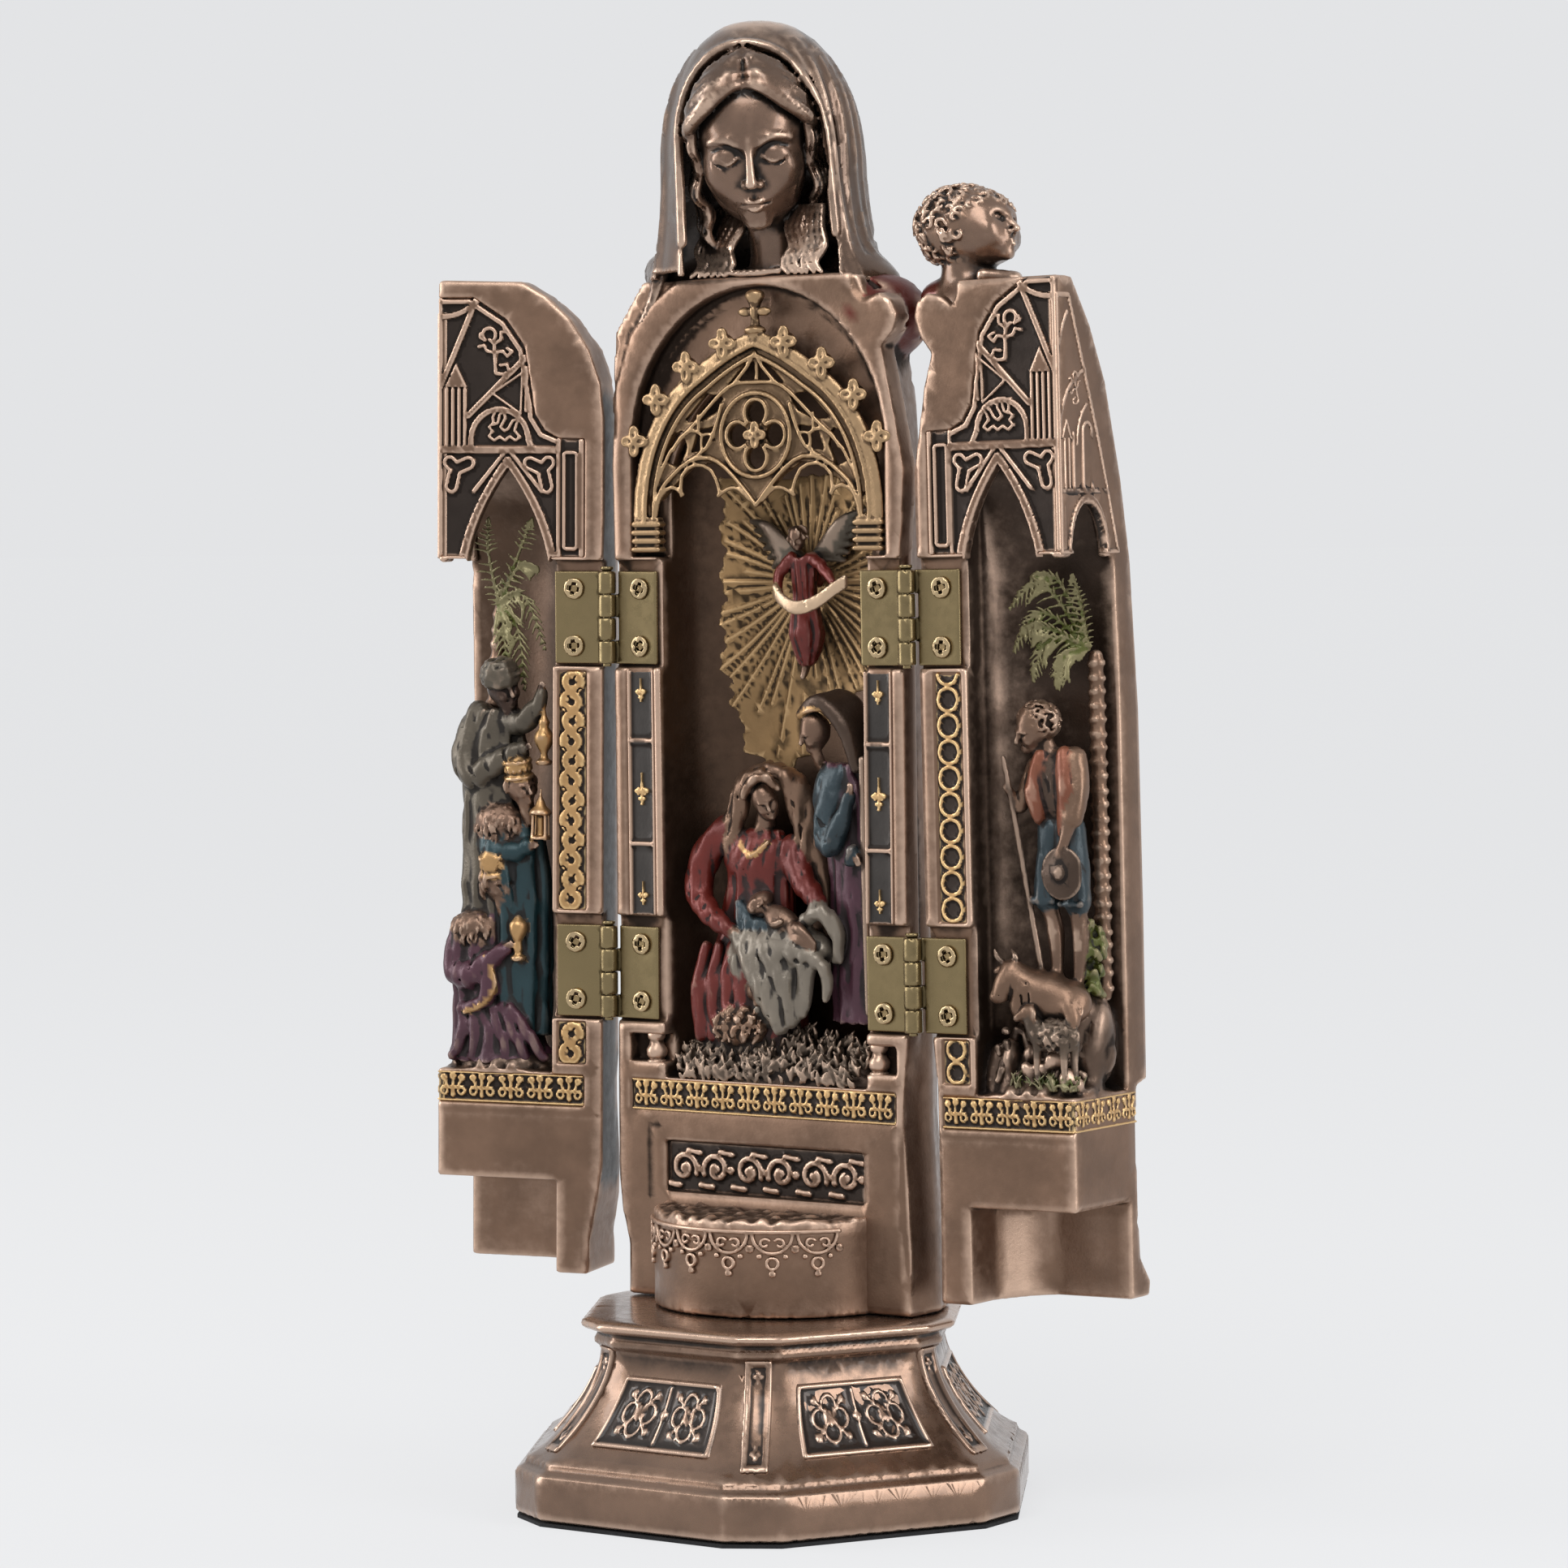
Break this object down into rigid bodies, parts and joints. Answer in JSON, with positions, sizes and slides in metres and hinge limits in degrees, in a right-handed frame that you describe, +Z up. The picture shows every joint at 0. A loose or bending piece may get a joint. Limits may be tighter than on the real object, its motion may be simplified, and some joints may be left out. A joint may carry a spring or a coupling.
{
  "type": "triptych altarpiece",
  "caption": "Small bronzed triptych altarpiece: a hooded Madonna whose two front wings open on brass hinges over an arched Nativity niche, on a footed plinth.",
  "frame": {"origin": "middle of the plinth's underside, on the surface that it stands on", "axes": "+Z up, the shrine faces -Y, +X to the viewer's right"},
  "size_m": [0.1587, 0.1014, 0.3],
  "materials": {
    "bronze": "cold-cast bronze resin, dark brown patina rubbed back to pinkish bronze on the edges, lacquered",
    "gilt": "cast resin with an antique gilt finish",
    "brass": "aged, brushed brass",
    "felt": "black felt"
  },
  "bodies": {
    "shrine_body": {"felt_pad": "felt", "plinth": "bronze", "shrine": "bronze", "gilt_tracery": "gilt", "left_upper_hinge_shrine_leaf": "brass", "left_upper_hinge_pin": "brass", "left_upper_hinge_shrine_screw_top": "brass", "left_upper_hinge_shrine_screw_bottom": "brass", "left_lower_hinge_shrine_leaf": "brass", "left_lower_hinge_pin": "brass", "left_lower_hinge_shrine_screw_top": "brass", "left_lower_hinge_shrine_screw_bottom": "brass", "right_upper_hinge_shrine_leaf": "brass", "right_upper_hinge_pin": "brass", "right_upper_hinge_shrine_screw_top": "brass", "right_upper_hinge_shrine_screw_bottom": "brass", "right_lower_hinge_shrine_leaf": "brass", "right_lower_hinge_pin": "brass", "right_lower_hinge_shrine_screw_top": "brass", "right_lower_hinge_shrine_screw_bottom": "brass"},
    "left": {"left_wing": "bronze", "left_upper_hinge_wing_leaf": "brass", "left_upper_hinge_wing_screw_top": "brass", "left_upper_hinge_wing_screw_bottom": "brass", "left_lower_hinge_wing_leaf": "brass", "left_lower_hinge_wing_screw_top": "brass", "left_lower_hinge_wing_screw_bottom": "brass"},
    "right": {"right_wing": "bronze", "right_upper_hinge_wing_leaf": "brass", "right_upper_hinge_wing_screw_top": "brass", "right_upper_hinge_wing_screw_bottom": "brass", "right_lower_hinge_wing_leaf": "brass", "right_lower_hinge_wing_screw_top": "brass", "right_lower_hinge_wing_screw_bottom": "brass"}
  },
  "joints": [
    {"name": "left_wing_hinge", "type": "hinge", "parent": "shrine_body", "child": "left", "pos_m": [-0.03866, -0.0024, 0.143], "axis": [0.0087, 0, 1], "range_deg": [-22, 163]},
    {"name": "right_wing_hinge", "type": "hinge", "parent": "shrine_body", "child": "right", "pos_m": [0.03594, -0.0024, 0.143], "axis": [-0.0087, 0, 1], "range_deg": [-180, 5]}
  ]
}
